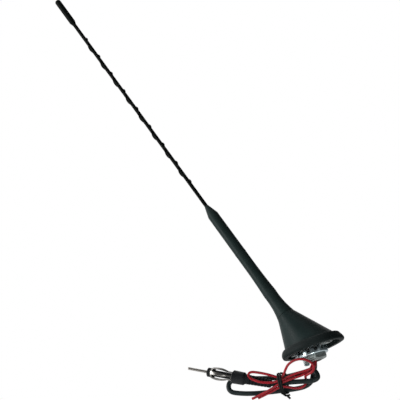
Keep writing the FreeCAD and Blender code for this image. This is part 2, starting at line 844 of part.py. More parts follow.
def make_casting():
    body = new_body("base_casting")
    under = plate_under()
    inset = size("gasket_wall") + size("seat_gap")
    plate = new_sketch(body, "plate_line", "XY", under)
    oval(plate, size("rim_front"), size("rim_rear"), size("rim_half"), inset)
    pad(body, "plate", plate, size("plate_thickness"))
    hub = new_sketch(body, "hub_line", "XY", under)
    circle(hub, ZERO, ZERO, size("hub_radius"))
    pad(body, "hub", hub, size("hub_height"), down=True)
    ribs = new_sketch(body, "rib_line", "XY", under)
    rib = size("rib_half")
    start = size("cup_radius") + size("rib_gap")
    rectangle(ribs, start, size("rim_front") - inset - size("rib_end_gap"), -rib, rib)
    pad(body, "front_rib", ribs, size("rib_depth"), down=True)
    block = new_sketch(body, "front_pad_line", "XY", under)
    half = size("front_pad_half")
    rectangle(block, start, start + size("front_pad_length"), -half, half)
    pad(body, "front_pad", block, size("front_pad_depth"), down=True)
    stud = new_sketch(body, "stud_line", "XY", under)
    circle(stud, ZERO, ZERO, size("stud_radius"))
    pad(body, "stud", stud, under + size("stud_end"), down=True)
    tail = new_sketch(body, "pad_line", "XY", under)
    edge = size("pad_edge")
    back = size("pad_step") - (size("rim_rear") - inset - size("pad_end_gap"))
    wide = size("boss_radius") + size("pad_margin")
    narrow = wide - size("pad_corner")
    outline(tail, [(edge, -wide), (edge, wide), (back, narrow), (back, -narrow)])
    pad(body, "rear_pad", tail, size("pad_depth"), down=True)
    posts = new_sketch(body, "post_line", "XY", under + size("plate_thickness"))
    for x, y in post_spots():
        circle(posts, x, y, size("post_radius"))
    pad(body, "posts", posts, size("post_height"))
    bore = new_sketch(body, "bore_line", "XY", ZERO)
    circle(bore, ZERO, ZERO, size("stud_bore"))
    through(body, "bore", bore)
    holes = new_sketch(body, "screw_line", "XY", ZERO)
    for _, x, y in screw_spots():
        circle(holes, x, y, size("screw_radius") + size("screw_play"))
    through(body, "screw_holes", holes)
    taps = new_sketch(body, "tap_line", "XY", under + size("plate_thickness") + size("post_height"))
    for x, y in post_spots():
        circle(taps, x, y, size("board_screw_radius") + size("fit_gap"))
    pocket(body, "taps", taps, size("board_screw_depth") + size("tap_spare"))
    bevel = new_sketch(body, "stud_bevel_line", "XZ")
    end = -size("stud_end")
    cut = size("stud_bevel")
    outline(
        bevel,
        [(size("stud_radius") - cut, end), (size("stud_radius") + 1, end), (size("stud_radius") + 1, end + cut + 1)],
    )
    revolve(body, "stud_bevel", bevel, cut=True)


def post_spots():
    front, rear, wide = size("post_front_x"), size("post_rear_x"), size("post_y")
    return [(front, wide), (front, -wide), (rear, wide), (rear, -wide)]


def screw(name, radius, reach, head_radius, head_height, head_up, x, y, z):
    """Pan-headed screw with a cross recess; z is the face under its head."""
    way = 1 if head_up else -1
    shank = doc.addObject("Part::Cylinder", name + "_shank")
    bind(shank, "Radius", radius)
    bind(shank, "Height", reach)
    head = doc.addObject("Part::Cylinder", name + "_head")
    bind(head, "Radius", head_radius)
    bind(head, "Height", head_height)
    slots = []
    for index, (long, wide) in enumerate((("recess_length", "recess_width"), ("recess_width", "recess_length"))):
        slot = doc.addObject("Part::Box", "%s_recess_%d" % (name, index))
        share = head_radius / size("screw_head_radius")
        bind(slot, "Length", size(long) * share)
        bind(slot, "Width", size(wide) * share)
        bind(slot, "Height", size("recess_depth") * share)
        slot.setExpression("Placement.Base.x", (x - size(long) * share / 2).text)
        slot.setExpression("Placement.Base.y", (y - size(wide) * share / 2).text)
        depth = head_height - size("recess_depth") * share if head_up else -head_height
        slot.setExpression("Placement.Base.z", (z + depth).text)
        slots.append(slot)
    for item, low in ((shank, -reach if way > 0 else ZERO), (head, ZERO if way > 0 else -head_height)):
        for axis, value in (("x", x), ("y", y), ("z", z + low)):
            item.setExpression("Placement.Base." + axis, value.text)
    return join("Cut", name, fuse(name + "_blank", [shank, head]), fuse(name + "_cross", slots))


def group(label, members):
    """Separate solids that share one node."""
    item = doc.addObject("Part::Compound", label + "_set")
    item.Links = members
    return keep(item, label)


def make_screws():
    under = plate_under()
    screws = []
    for name, x, y in screw_spots():
        seat = under - size("pad_depth") if name == "rear" else under
        reach = size("base_height") - seat + size("screw_reach")
        screws.append(
            screw(
                "base_screw_" + name,
                size("screw_radius"),
                reach,
                size("screw_head_radius"),
                size("screw_head_height"),
                False,
                x,
                y,
                seat,
            )
        )
    group("base_screws", screws)
    seat = board_under() + size("board_thickness")
    board_screws = []
    for index, (x, y) in enumerate(post_spots()):
        board_screws.append(
            screw(
                "board_screw_%d" % index,
                size("board_screw_radius"),
                size("board_thickness") + size("board_screw_depth"),
                size("board_head_radius"),
                size("board_head_height"),
                True,
                x,
                y,
                seat,
            )
        )
    group("board_screws", board_screws)


# Amplifier


def board_under():
    return plate_under() + size("plate_thickness") + size("post_height")


def make_board():
    body = new_body("amplifier_board")
    line = new_sketch(body, "board_line", "XY", board_under())
    front, rear, half, corner = size("board_front"), size("board_rear"), size("board_half"), size("board_corner")
    outline(
        line,
        [
            (front, -half + corner),
            (front, half - corner, corner, 1),
            (front - corner, half),
            (rear + corner, half, corner, 1),
            (rear, half - corner),
            (rear, -half + corner, corner, 1),
            (rear + corner, -half),
            (front - corner, -half, corner, 1),
        ],
    )
    for x, y in post_spots():
        circle(line, x, y, size("board_screw_radius") + size("screw_play"))
    pad(body, "board", line, size("board_thickness"))
    top = board_under() + size("board_thickness")
    can = new_body("screening_can")
    long, wide, sheet_gauge = size("can_length") / 2, size("can_width") / 2, size("can_sheet")
    middle = size("can_x")
    box = new_sketch(can, "can_line", "XY", top)
    rectangle(box, middle - long, middle + long, -wide, wide)
    pad(can, "can", box, size("can_height"))
    room = new_sketch(can, "can_room_line", "XY", top)
    rectangle(
        room,
        middle - long + sheet_gauge,
        middle + long - sheet_gauge,
        sheet_gauge - wide,
        wide - sheet_gauge,
    )
    pocket(can, "can_room", room, size("can_height") - sheet_gauge, up=True)


def make_contact():
    """Bent strip: a foot on the board, a leg up through the neck and a tip under the mast socket."""
    body = new_body("mast_contact")
    line = new_sketch(body, "contact_line", "XZ")
    top = board_under() + size("board_thickness")
    gauge = size("contact_sheet")
    x0 = size("contact_x")
    knee = x0 + size("contact_foot")
    tip_x, tip_z = along_mast(-size("socket_length"))
    away_x, away_z = sine(rake), cosine(rake)
    half = gauge / 2
    outline(
        line,
        [
            (x0, top),
            (knee, top),
            (tip_x + half * away_z, tip_z + half * away_x),
            (tip_x - half * away_z, tip_z - half * away_x),
            (knee - gauge * 1.05, top + gauge),
            (x0, top + gauge),
        ],
    )
    strip = pad(body, "contact", line, size("contact_width"))
    strip.Midplane = True


# Clamp under the roof


def make_cup():
    radius, gauge = size("cup_radius"), size("cup_sheet")
    low = -size("cup_floor")
    corner = size("cup_corner")
    tip = plate_under() - size("cup_clear")
    bore = size("stud_radius") + size("cup_play")
    body = turned(
        "clamp_cup",
        [
            (bore, low),
            (radius - corner, low, corner, 1),
            (radius, low + corner),
            (radius, tip),
            (radius - gauge, tip),
            (radius - gauge, low + gauge),
            (bore, low + gauge),
        ],
    )
    notch = new_sketch(body, "notch_line", "YZ")
    base = low + size("tooth_root")
    narrow, wide = size("notch_root"), size("notch_mouth")
    over = tip + 1
    outline(notch, [(-narrow, base), (narrow, base), (wide, over), (-wide, over)])
    cut = body.newObject("PartDesign::Pocket", "notch")
    cut.Profile = notch
    bind(cut, "Length", radius + 1)
    cut.Reversed = True
    axis = new_sketch(body, "cup_axis", "XY")
    circle(axis, ZERO, ZERO, radius)
    polar(body, "notches", cut, axis, size("tooth_count"))
    # the tab is cut from the rim and bent down along the nut
    inner = radius - gauge
    height = size("tab_drop")
    tab = new_sketch(body, "tab_line", "YZ", inner)
    half, round_corner = size("tab_width") / 2, size("tab_corner")
    root_z = low + size("tab_bite")
    outline(
        tab,
        [
            (half, low - height + round_corner),
            (half, root_z),
            (-half, root_z),
            (-half, low - height + round_corner, round_corner, 1),
            (-half + round_corner, low - height),
            (half - round_corner, low - height, round_corner, 1),
        ],
    )
    pad(body, "tab", tab, gauge - size("tab_relief"))
    body.Placement = FreeCAD.Placement(
        FreeCAD.Vector(0, 0, 0),
        FreeCAD.Rotation(FreeCAD.Vector(0, 0, 1), size("tab_angle").number),
    )


def make_nut():
    body = new_body("roof_nut")
    top = -size("cup_floor") - size("clamp_gap")
    low = top - size("nut_height")
    line = new_sketch(body, "nut_line", "XY", low)
    corner = size("nut_flats") / math.sqrt(3)
    half = size("nut_flats") / 2
    outline(
        line,
        [
            (corner, ZERO),
            (corner / 2, half),
            (-corner / 2, half),
            (-corner, ZERO),
            (-corner / 2, -half),
            (corner / 2, -half),
        ],
    )
    circle(line, ZERO, ZERO, size("stud_radius") + size("turn_gap"))
    pad(body, "hexagon", line, size("nut_height"))
    bevel = new_sketch(body, "nut_bevel_line", "XZ")
    fall = size("nut_chamfer")
    outline(bevel, [(half - size("nut_bevel_margin"), low), (corner + 1, low), (corner + 1, low + fall)])
    revolve(body, "nut_bevel", bevel, cut=True)
    body.Placement = FreeCAD.Placement(
        FreeCAD.Vector(0, 0, 0),
        FreeCAD.Rotation(FreeCAD.Vector(0, 0, 1), size("nut_turn").number),
    )


# Cables, in the hank's frame: x runs along the hank, y across it and z up

COAX_ROUTE = [
    (4.3, -3.6, -14.2),
    (6.6, -4.8, -18.6),
    (9.6, -4.9, -23.6),
    (16.5, -4.7, -25.9),
    (25.6, -4.3, -25.0),
    (36.6, -3.7, -22.4),
    (48.3, -3.5, -19.6),
    (60.4, -3.5, -16.5),
    (73.2, -3.8, -12.0),
    (84.0, -4.4, -6.6),
    (82.2, -5.8, 1.8),
    (73.0, -6.2, 2.0),
    (61.4, -6.2, -2.4),
    (48.3, -5.9, -7.2),
    (36.0, -4.9, -11.2),
    (25.0, -3.2, -13.2),
    (16.0, -1.0, -14.4),
    (9.2, 0.4, -15.4),
    (4.0, 0.9, -16.3),
    (1.0, 1.7, -20.0),
    (2.4, 2.6, -24.1),
    (7.2, 3.2, -24.8),
    (13.0, 3.3, -23.0),
    (21.5, 3.2, -20.4),
    (30.2, 3.1, -17.9),
    (37.2, 3.0, -17.0),
]

LONG_ROUTE = [
    (0.2, 4.2, -13.2),
    (3.4, 6.4, -14.9),
    (9.6, 7.1, -15.0),
    (17.8, 6.2, -14.2),
    (26.5, 5.6, -14.4),
    (33.6, 6.6, -15.2),
    (42.0, 8.4, -14.2),
    (51.5, 9.2, -9.9),
    (59.0, 9.4, -2.8),
    (56.2, 9.2, 1.2),
    (48.6, 8.9, -2.4),
    (41.0, 7.8, -7.0),
    (33.8, 6.2, -12.4),
    (29.4, 6.8, -12.4),
    (25.4, 8.8, -8.2),
    (20.4, 11.2, -5.0),
    (12.6, 13.4, -4.2),
    (5.2, 14.6, -6.4),
    (0.2, 13.9, -11.2),
    (-0.4, 12.0, -16.0),
    (3.6, 9.0, -18.6),
    (9.0, 7.0, -18.6),
    (12.2, 4.6, -19.1),
    (13.5, -0.4, -19.4),
    (14.6, -1.2, -23.0),
    (17.8, -0.4, -26.3),
    (23.8, 1.4, -25.6),
    (29.6, 4.4, -22.0),
    (35.4, 6.4, -19.7),
    (42.6, 5.0, -20.7),
    (50.0, 4.2, -21.3),
    (57.8, 3.4, -21.8),
]

SHORT_ROUTE = [
    (4.4, 3.7, -13.4),
    (8.0, 4.4, -16.3),
    (14.5, 4.3, -17.2),
    (21.5, 4.6, -17.0),
    (28.5, 6.4, -17.0),
    (35.6, 7.2, -17.5),
    (43.5, 5.8, -18.3),
    (52.5, 4.6, -19.0),
    (62.5, 3.8, -19.5),
]

ARC_SHARE = 0.45


def smooth_path(points):
    """Straight runs joined by tangent arcs, each as large as its two runs allow."""
    points = [FreeCAD.Vector(*point) for point in points]
    edges, radii = [], []
    here = points[0]
    for before, corner, after in zip(points, points[1:], points[2:]):
        back, on = (before - corner), (after - corner)
        shorter = min(back.Length, on.Length)
        back.normalize()
        on.normalize()
        trim = ARC_SHARE * shorter
        turn = math.pi - back.getAngle(on)
        radius = trim / math.tan(turn / 2)
        radii.append(radius)
        inward = back + on
        inward.normalize()
        middle = corner + inward * (math.hypot(radius, trim) - radius)
        start, stop = corner + back * trim, corner + on * trim
        edges.append(Part.LineSegment(here, start).toShape())
        edges.append(Part.Arc(start, middle, stop).toShape())
        here = stop
    edges.append(Part.LineSegment(here, points[-1]).toShape())
    return Part.Wire(edges), radii


def make_cable(label, route, diameter):
    """A round cable along its route, as a solid in the hank's frame."""
    path, radii = smooth_path(route)
    first = path.Edges[0]
    start = first.valueAt(first.FirstParameter)
    way = first.tangentAt(first.FirstParameter)
    section = Part.Wire(Part.makeCircle(diameter / 2, start, way))
    solid = path.makePipeShell([section], True, False)
    expected = math.pi * diameter**2 / 4 * path.Length
    print(
        "%s: length %.1f mm, least radius %.1f mm, volume %.4f of section times length"
        % (label, path.Length, min(radii), solid.Volume / expected)
    )
    item = doc.addObject("Part::Feature", label + "_solid")
    item.Shape = solid
    item.Placement = hank_frame
    return keep(item, label)


def inner_run(name):
    """The stretch from the board down through the bush and out of the stud's mouth."""
    x, y = size(name + "_exit_x").number, size(name + "_exit_y").number
    top = board_under() - size("tail_gap")
    aside, middle = size("run_sway").number, size("run_middle").number
    return [(x, y, top.number), (x - aside, y, middle), (x, y, size("exit_height").number)]


# The tie's twisted neck and its two cut ends: across the hank, up from the band and along it

TIE_TAILS = [
    ((5.0, 0.3, 0.0), (4.2, -3.2, -0.8)),
    ((4.2, -3.0, -0.8), (3.8, -6.4, -0.6)),
    ((4.4, -2.2, -0.8), (4.6, -3.4, -3.6)),
]


def plug_entry():
    return (size("plug_x").number, size("plug_y").number, size("plug_z").number)


def make_cables():
    coax = size("coax_diameter").number
    lead = size("lead_diameter").number
    make_cable("coax_cable", inner_run("coax") + COAX_ROUTE + [plug_entry()], coax)
    make_cable("long_red_lead", inner_run("long") + LONG_ROUTE, lead)
    make_cable("short_red_lead", inner_run("short") + SHORT_ROUTE, lead)


def cable_spots():
    return [
        (size("coax_exit_x"), size("coax_exit_y"), size("coax_diameter") / 2),
        (size("long_exit_x"), size("long_exit_y"), size("lead_diameter") / 2),
        (size("short_exit_x"), size("short_exit_y"), size("lead_diameter") / 2),
    ]


def make_bush():
    """Bush in the stud's bore, with a hole for each cable."""
    body = new_body("cable_bush")
    line = new_sketch(body, "bush_line", "XY", -size("bush_end"))
    circle(line, ZERO, ZERO, size("stud_bore") - size("fit_gap"))
    for x, y, radius in cable_spots():
        circle(line, x, y, radius + size("cable_play"))
    pad(body, "bush", line, size("bush_end") + size("bush_top"))
    body.Placement = hank_frame


def make_tie():
    """Plastic twist tie: a band round the hank and two twisted tails."""
    width, gauge = size("tie_width"), size("tie_sheet")
    deep, tall, corner = size("tie_half_depth"), size("tie_half_height"), size("tie_corner")

    def rounded(item, grow):
        across, along, bend = deep + grow, tall + grow, corner + grow
        outline(
            item,
            [
                (across, bend - along),
                (across, along - bend, bend, 1),
                (across - bend, along),
                (bend - across, along, bend, 1),
                (-across, along - bend),
                (-across, bend - along, bend, 1),
                (bend - across, -along),
                (across - bend, -along, bend, 1),
            ],
        )

    line = new_sketch(None, "tie_line")
    rounded(line, gauge)
    rounded(line, ZERO)
    band = doc.addObject("Part::Extrusion", "tie_band")
    band.Base = line
    band.DirMode = "Custom"
    band.Dir = FreeCAD.Vector(0, 0, 1)
    band.Solid = True
    bind(band, "LengthFwd", width)
    # the band is drawn flat, with the hank running along Z and the tails at -Y
    low = -(tall + gauge).number
    middle = width.number / 2
    knot = FreeCAD.Vector(0, low, middle)
    pieces = [band]
    for index, (start, stop) in enumerate(TIE_TAILS):
        start, stop = knot + FreeCAD.Vector(*start), knot + FreeCAD.Vector(*stop)
        tail = doc.addObject("Part::Cylinder", "tie_tail_%d" % index)
        bind(tail, "Radius", size("tie_tail_radius"))
        tail.Height = (stop - start).Length
        tail.Placement = FreeCAD.Placement(start, FreeCAD.Rotation(FreeCAD.Vector(0, 0, 1), stop - start))
        pieces.append(tail)
    item = keep(fuse("hank_tie_solid", pieces), "hank_tie")
    # flat drawing: X becomes the hank's y, Y the tie's height and Z the hank's own direction
    stand = FreeCAD.Placement(
        FreeCAD.Vector(0, 0, 0),
        FreeCAD.Rotation(FreeCAD.Vector(0, 1, 0), FreeCAD.Vector(0, 0, 1), FreeCAD.Vector(1, 0, 0), "ZXY"),
    )
    centre = in_hank(size("tie_x").number, size("tie_y").number, size("tie_z").number, -size("tie_tilt").number)
    item.Placement = centre.multiply(stand)


# Plug, turned about its own axis from the boot's cable end to the pin's tip


def plug_piece(body):
    spot = plug_entry()
    body.Placement = in_hank(spot[0], spot[1], spot[2], size("plug_tilt").number)


def make_boot():
    length, thick, thin = size("boot_length"), size("boot_radius"), size("boot_end_radius")
    edge, slant = size("boot_edge"), size("groove_slant")
    corners = [(ZERO, ZERO), (thin - edge, ZERO), (thin, edge)]
    slope = (thick - thin) / length
    width, depth = size("groove_width"), size("groove_depth")
    for index in range(int(size("boot_ribs").number)):
        low = size("groove_first") + size("groove_pitch") * index
        high = low + width
        corners.append((thin + slope * low, low))
        corners.append((thin + slope * low - depth, low + slant))
        corners.append((thin + slope * high - depth, high - slant))
        corners.append((thin + slope * high, high))
    corners.append((thick, length))
    corners.append((ZERO, length))
    plug_piece(turned("plug_boot", corners))


def make_grip():
    low = size("boot_length")
    high = low + size("grip_length")
    back = size("grip_back_radius")
    shoulder = size("grip_shoulder")
    tail = high - size("shell_tail")
    inner = size("bulb_neck_radius") + size("fit_gap")
    body = turned(
        "plug_sleeve",
        [
            (ZERO, low),
            (size("boot_radius"), low),
            (back, low + shoulder),
            (size("grip_radius"), high - size("grip_edge")),
            (size("grip_radius") - size("grip_edge"), high),
            (inner, high),
            (inner, tail),
            (ZERO, tail),
        ],
    )
    plug_piece(body)


def shell_front():
    """Front face of the plug's moulded sleeve."""
    return size("boot_length") + size("grip_length")


def make_plug_shell():
    face = shell_front()
    neck, neck_length = size("bulb_neck_radius"), size("bulb_neck_length")
    radius, length, nose = size("bulb_radius"), size("bulb_length"), size("bulb_nose_radius")
    gauge = size("bulb_sheet")
    start = face + neck_length
    front = start + length
    peak = start + length * size("bulb_swell")
    tail = face - size("shell_tail") + size("fit_gap")
    back_run, front_run = peak - start, front - peak
    back = (back_run * back_run + (radius - neck) * (radius - neck)) / ((radius - neck) * 2)
    fore = (front_run * front_run + (radius - nose) * (radius - nose)) / ((radius - nose) * 2)
    body = turned(
        "plug_shell",
        [
            (neck - gauge, tail),
            (neck, tail),
            (neck, start, back, 1),
            (radius, peak, fore, 1),
            (nose, front),
            (nose - gauge, front, fore - gauge, -1),
            (radius - gauge, peak, back - gauge, -1),
            (neck - gauge, start),
        ],
    )
    slot = new_sketch(body, "slot_line", "YZ")
    half = size("slot_half")
    outline(
        slot,
        [
            (-half, face + size("slot_root")),
            (half, face + size("slot_root")),
            (half, front - size("slot_land")),
            (-half, front - size("slot_land")),
        ],
    )
    cut = body.newObject("PartDesign::Pocket", "slot")
    cut.Profile = slot
    bind(cut, "Length", radius + 1)
    cut.Reversed = True
    axis = new_sketch(body, "shell_axis", "XY")
    circle(axis, ZERO, ZERO, radius)
    polar(body, "slots", cut, axis, size("bulb_slots"))
    plug_piece(body)


def make_pin():
    front = shell_front() + size("bulb_neck_length") + size("bulb_length")
    washer = size("washer_length")
    tail = front - size("insulator_tail")
    pin, thin = size("pin_radius"), size("pin_tail_radius")
    inner = size("bulb_nose_radius") - size("bulb_sheet") - size("fit_gap")
    bore = thin + size("fit_gap")
    core, seat = inner - size("nose_step"), front - size("nose_seat")
    face, edge = front + size("washer_gap"), size("washer_edge")
    insulator = turned(
        "plug_insulator",
        [
            (bore, tail),
            (core, tail),
            (core, seat),
            (inner, seat),
            (inner, face),
            (size("washer_radius"), face),
            (size("washer_radius"), front + washer - edge),
            (size("washer_radius") - edge, front + washer),
            (bore, front + washer),
        ],
    )
    plug_piece(insulator)
    step = front + washer + size("fit_gap")
    end = front + washer + size("pin_length")
    nose = size("pin_nose")
    body = turned(
        "plug_pin",
        [
            (ZERO, tail - size("pin_stub")),
            (thin, tail - size("pin_stub")),
            (thin, step),
            (pin, step),
            (pin, end - nose, nose, 1),
            (pin - nose, end),
            (ZERO, end),
        ],
    )
    plug_piece(body)


make_tip_cap()
make_whip()
make_ferrule()
make_sleeve()
make_shell()
make_socket()
make_gasket()
make_casting()
make_board()
make_contact()
make_screws()
make_cup()
make_nut()
make_bush()
make_cables()
make_tie()
make_boot()
make_grip()
make_plug_shell()
make_pin()
doc.recompute()

faults = []
for item in doc.Objects:
    if "Invalid" in item.State or "Error" in item.State:
        faults.append("%s: %s" % (item.Name, item.State))
for item in parts:
    if item.Shape.isNull() or not item.Shape.isValid() or not item.Shape.Solids:
        faults.append("%s: no valid solid" % item.Label)
if faults:
    raise RuntimeError("; ".join(faults))

os.makedirs("parts", exist_ok=True)
for item in parts:
    item.Shape.exportStep(os.path.join("parts", item.Label + ".step"))
    box = item.Shape.BoundBox
    print(
        "%-18s %2d solid %9.1f mm3  x %.1f..%.1f  y %.1f..%.1f  z %.1f..%.1f"
        % (
            item.Label,
            len(item.Shape.Solids),
            item.Shape.Volume,
            box.XMin,
            box.XMax,
            box.YMin,
            box.YMax,
            box.ZMin,
            box.ZMax,
        )
    )
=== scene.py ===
"""The looks of a car roof antenna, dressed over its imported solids. Metres, in the solids' own frame."""

import math

import bmesh
import bpy
from mathutils import Matrix, Vector


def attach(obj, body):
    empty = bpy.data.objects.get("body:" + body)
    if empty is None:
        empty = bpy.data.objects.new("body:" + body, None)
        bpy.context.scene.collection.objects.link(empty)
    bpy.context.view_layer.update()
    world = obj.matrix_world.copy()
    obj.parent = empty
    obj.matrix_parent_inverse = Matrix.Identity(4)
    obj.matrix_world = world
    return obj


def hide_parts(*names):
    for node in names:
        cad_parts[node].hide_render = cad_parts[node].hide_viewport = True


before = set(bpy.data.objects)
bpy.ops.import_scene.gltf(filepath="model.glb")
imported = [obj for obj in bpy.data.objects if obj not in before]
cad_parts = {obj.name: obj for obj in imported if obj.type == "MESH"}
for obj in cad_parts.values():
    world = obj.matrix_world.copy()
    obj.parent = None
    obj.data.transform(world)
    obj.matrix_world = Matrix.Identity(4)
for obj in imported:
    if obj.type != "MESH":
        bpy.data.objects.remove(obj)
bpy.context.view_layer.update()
MM = 0.001

# View and light

VIEW_TARGET = Vector((-0.0153, -0.0612, 0.1453))
VIEW_DISTANCE = 1.4384
VIEW_AZIMUTH = 38.0
VIEW_ELEVATION = -14.93
VIEW_ROLL = 18.5
LENS_MM = 153.4
FLOOR_HEIGHT = -0.48

# Cables: the hank's own frame runs along the hank, across it and up

HANK_TURN = 200.0
COAX_DIAMETER = 4.2
LEAD_DIAMETER = 2.2
PLUG_ENTRY = (43.2, 3.0, -14.3)
LONG_LENGTH = 231.8
SHORT_LENGTH = 84.1

COAX_ROUTE = [
    (1.8, -1.1, 10.4),
    (1.7, -1.1, 0.2),
    (1.8, -1.1, -10.0),
    (4.2, -3.5, -14.3),
    (7.8, -4.9, -18.6),
    (10.4, -4.9, -23.4),
    (16.5, -4.7, -25.9),
    (25.6, -4.3, -25.0),
    (36.6, -3.7, -22.4),
    (48.3, -3.5, -19.6),
    (60.4, -3.5, -16.5),
    (73.2, -3.8, -12.0),
    (84.0, -4.4, -6.6),
    (82.2, -5.8, 1.8),
    (73.0, -6.2, 2.0),
    (61.4, -6.2, -2.4),
    (48.3, -5.9, -7.2),
    (36.0, -4.9, -11.2),
    (25.0, -3.2, -13.2),
    (16.0, -1.0, -14.4),
    (9.2, 0.4, -15.4),
    (4.0, 0.9, -16.3),
    (2.2, 1.7, -20.2),
    (2.4, 2.6, -24.1),
    (7.2, 3.2, -24.8),
    (13.0, 3.3, -23.0),
    (21.5, 3.2, -20.4),
    (30.2, 3.1, -17.9),
    (37.2, 3.0, -17.0),
    PLUG_ENTRY,
]

LONG_ROUTE = [
    (-0.5, 2.6, 10.4),
    (-0.6, 2.6, 0.2),
    (-0.5, 2.6, -10.0),
    (0.2, 4.2, -13.2),
    (3.4, 6.4, -14.9),
    (9.6, 7.1, -15.0),
    (17.8, 6.2, -14.2),
    (26.5, 5.6, -14.4),
    (33.6, 6.6, -15.2),
    (42.0, 8.4, -14.2),
    (51.5, 9.2, -9.9),
    (59.0, 9.4, -2.8),
    (56.2, 9.2, 1.2),
    (48.6, 8.9, -2.4),
    (41.0, 7.8, -7.0),
    (33.8, 6.2, -12.4),
    (29.4, 6.8, -12.4),
    (25.4, 8.8, -8.2),
    (20.4, 11.2, -5.0),
    (12.6, 13.4, -4.2),
    (5.2, 14.6, -6.4),
    (0.2, 13.9, -11.2),
    (-0.4, 12.0, -16.0),
    (3.6, 9.0, -18.6),
    (9.0, 7.0, -18.6),
    (12.2, 4.6, -19.1),
    (13.5, -0.4, -19.4),
    (14.6, -1.2, -23.0),
    (17.8, -0.4, -26.3),
    (23.8, 1.4, -25.6),
    (29.6, 4.4, -22.0),
    (35.4, 6.4, -19.7),
    (42.6, 5.0, -20.7),
    (50.0, 4.2, -21.3),
    (57.8, 3.4, -21.8),
]

SHORT_ROUTE = [
    (2.2, 2.4, 10.4),
    (2.1, 2.4, 0.2),
    (2.2, 2.4, -10.0),
    (4.4, 3.7, -13.4),
    (8.0, 4.4, -16.3),
    (14.5, 4.3, -17.2),
    (21.5, 4.6, -17.0),
    (28.5, 6.4, -17.0),
    (35.6, 7.2, -17.5),
    (43.5, 7.0, -19.2),
    (52.5, 6.4, -20.2),
    (62.5, 5.6, -20.8),
]

HANK = Matrix.Rotation(math.radians(HANK_TURN), 4, "Z")


def hank_point(point):
    """A point of the hank's frame, given in millimetres, in the object's frame."""
    return HANK @ (Vector(point) * MM)


# Shader node helpers


class Wiring:
    """A node tree with short ways to add and join nodes."""

    def __init__(self, tree):
        self.tree = tree

    def add(self, kind, **values):
        node = self.tree.nodes.new(kind)
        for name, value in values.items():
            setattr(node, name, value)
        return node

    def join(self, source, target):
        self.tree.links.new(source, target)

    def maths(self, operation, one, two=None):
        node = self.add("ShaderNodeMath", operation=operation)
        for socket, value in zip(node.inputs, (one, two)):
            if value is None:
                continue
            if isinstance(value, (int, float)):
                socket.default_value = value
            else:
                self.join(value, socket)
        return node.outputs[0]

    def noise(self, coordinates, scale, detail=2.0, roughness=0.5):
        node = self.add("ShaderNodeTexNoise")
        node.inputs["Detail"].default_value = detail
        node.inputs["Roughness"].default_value = roughness
        self.join(coordinates, node.inputs["Vector"])
        if isinstance(scale, (int, float)):
            node.inputs["Scale"].default_value = scale
        else:
            self.join(scale, node.inputs["Scale"])
        return node.outputs["Fac"]

    def spread(self, value, low, high, to_low, to_high):
        node = self.add("ShaderNodeMapRange")
        self.join(value, node.inputs["Value"])
        for name, number in (
            ("From Min", low),
            ("From Max", high),
            ("To Min", to_low),
            ("To Max", to_high),
        ):
            socket = node.inputs[name]
            if isinstance(number, (int, float)):
                socket.default_value = number
            else:
                self.join(number, socket)
        return node.outputs["Result"]

    def mix(self, share, one, two):
        node = self.add("ShaderNodeMix", data_type="RGBA")
        for name, value in (("Factor", share), ("A", one), ("B", two)):
            socket = next(s for s in node.inputs if s.name == name and s.enabled)
            if isinstance(value, (int, float)):
                socket.default_value = value
            elif isinstance(value, tuple):
                socket.default_value = (*value, 1.0)
            else:
                self.join(value, socket)
        return next(s for s in node.outputs if s.enabled)


def new_group(name, inputs, outputs):
    """A shader node group with named sockets, and the wiring inside it."""
    tree = bpy.data.node_groups.new(name, "ShaderNodeTree")
    for label, value in inputs:
        kind = "NodeSocketVector" if value is None else "NodeSocketFloat"
        socket = tree.interface.new_socket(name=label, in_out="INPUT", socket_type=kind)
        if value is not None:
            socket.default_value = value
    for label in outputs:
        tree.interface.new_socket(name=label, in_out="OUTPUT", socket_type="NodeSocketFloat")
    wiring = Wiring(tree)
    entry = wiring.add("NodeGroupInput")
    leave = wiring.add("NodeGroupOutput")
    return tree, wiring, entry.outputs, leave.inputs


def make_moulded_grain():
    """Spark-eroded mould texture: a fine pebble height, and slow patches of gloss."""
    tree, wiring, given, result = new_group(
        "moulded_grain",
        [("Vector", None), ("Grain Size", 0.35), ("Patch Size", 14.0)],
        ["Height", "Patch"],
    )
    grain_scale = wiring.maths("DIVIDE", 1000.0, given["Grain Size"])
    patch_scale = wiring.maths("DIVIDE", 1000.0, given["Patch Size"])
    pebbles = wiring.noise(given["Vector"], grain_scale, detail=3.0, roughness=0.55)
    patches = wiring.noise(given["Vector"], patch_scale, detail=4.0, roughness=0.6)
    wiring.join(pebbles, result["Height"])
    wiring.join(patches, result["Patch"])
    return tree


def make_handling_dust():
    """Sparse pale specks and faint smears left by handling."""
    tree, wiring, given, result = new_group(
        "handling_dust",
        [("Vector", None), ("Amount", 0.3), ("Speck Size", 1.2)],
        ["Mask"],
    )
    speck_scale = wiring.maths("DIVIDE", 1000.0, given["Speck Size"])
    smear_scale = wiring.maths("MULTIPLY", speck_scale, 0.08)
    specks = wiring.noise(given["Vector"], speck_scale, detail=5.0, roughness=0.7)
    smears = wiring.noise(given["Vector"], smear_scale, detail=3.0, roughness=0.6)
    sharp = wiring.spread(specks, 0.6, 0.78, 0.0, 1.0)
    soft = wiring.spread(smears, 0.45, 0.75, 0.0, 0.6)
    both = wiring.maths("MULTIPLY", wiring.maths("ADD", sharp, soft), given["Amount"])
    wiring.join(both, result["Mask"])
    return tree


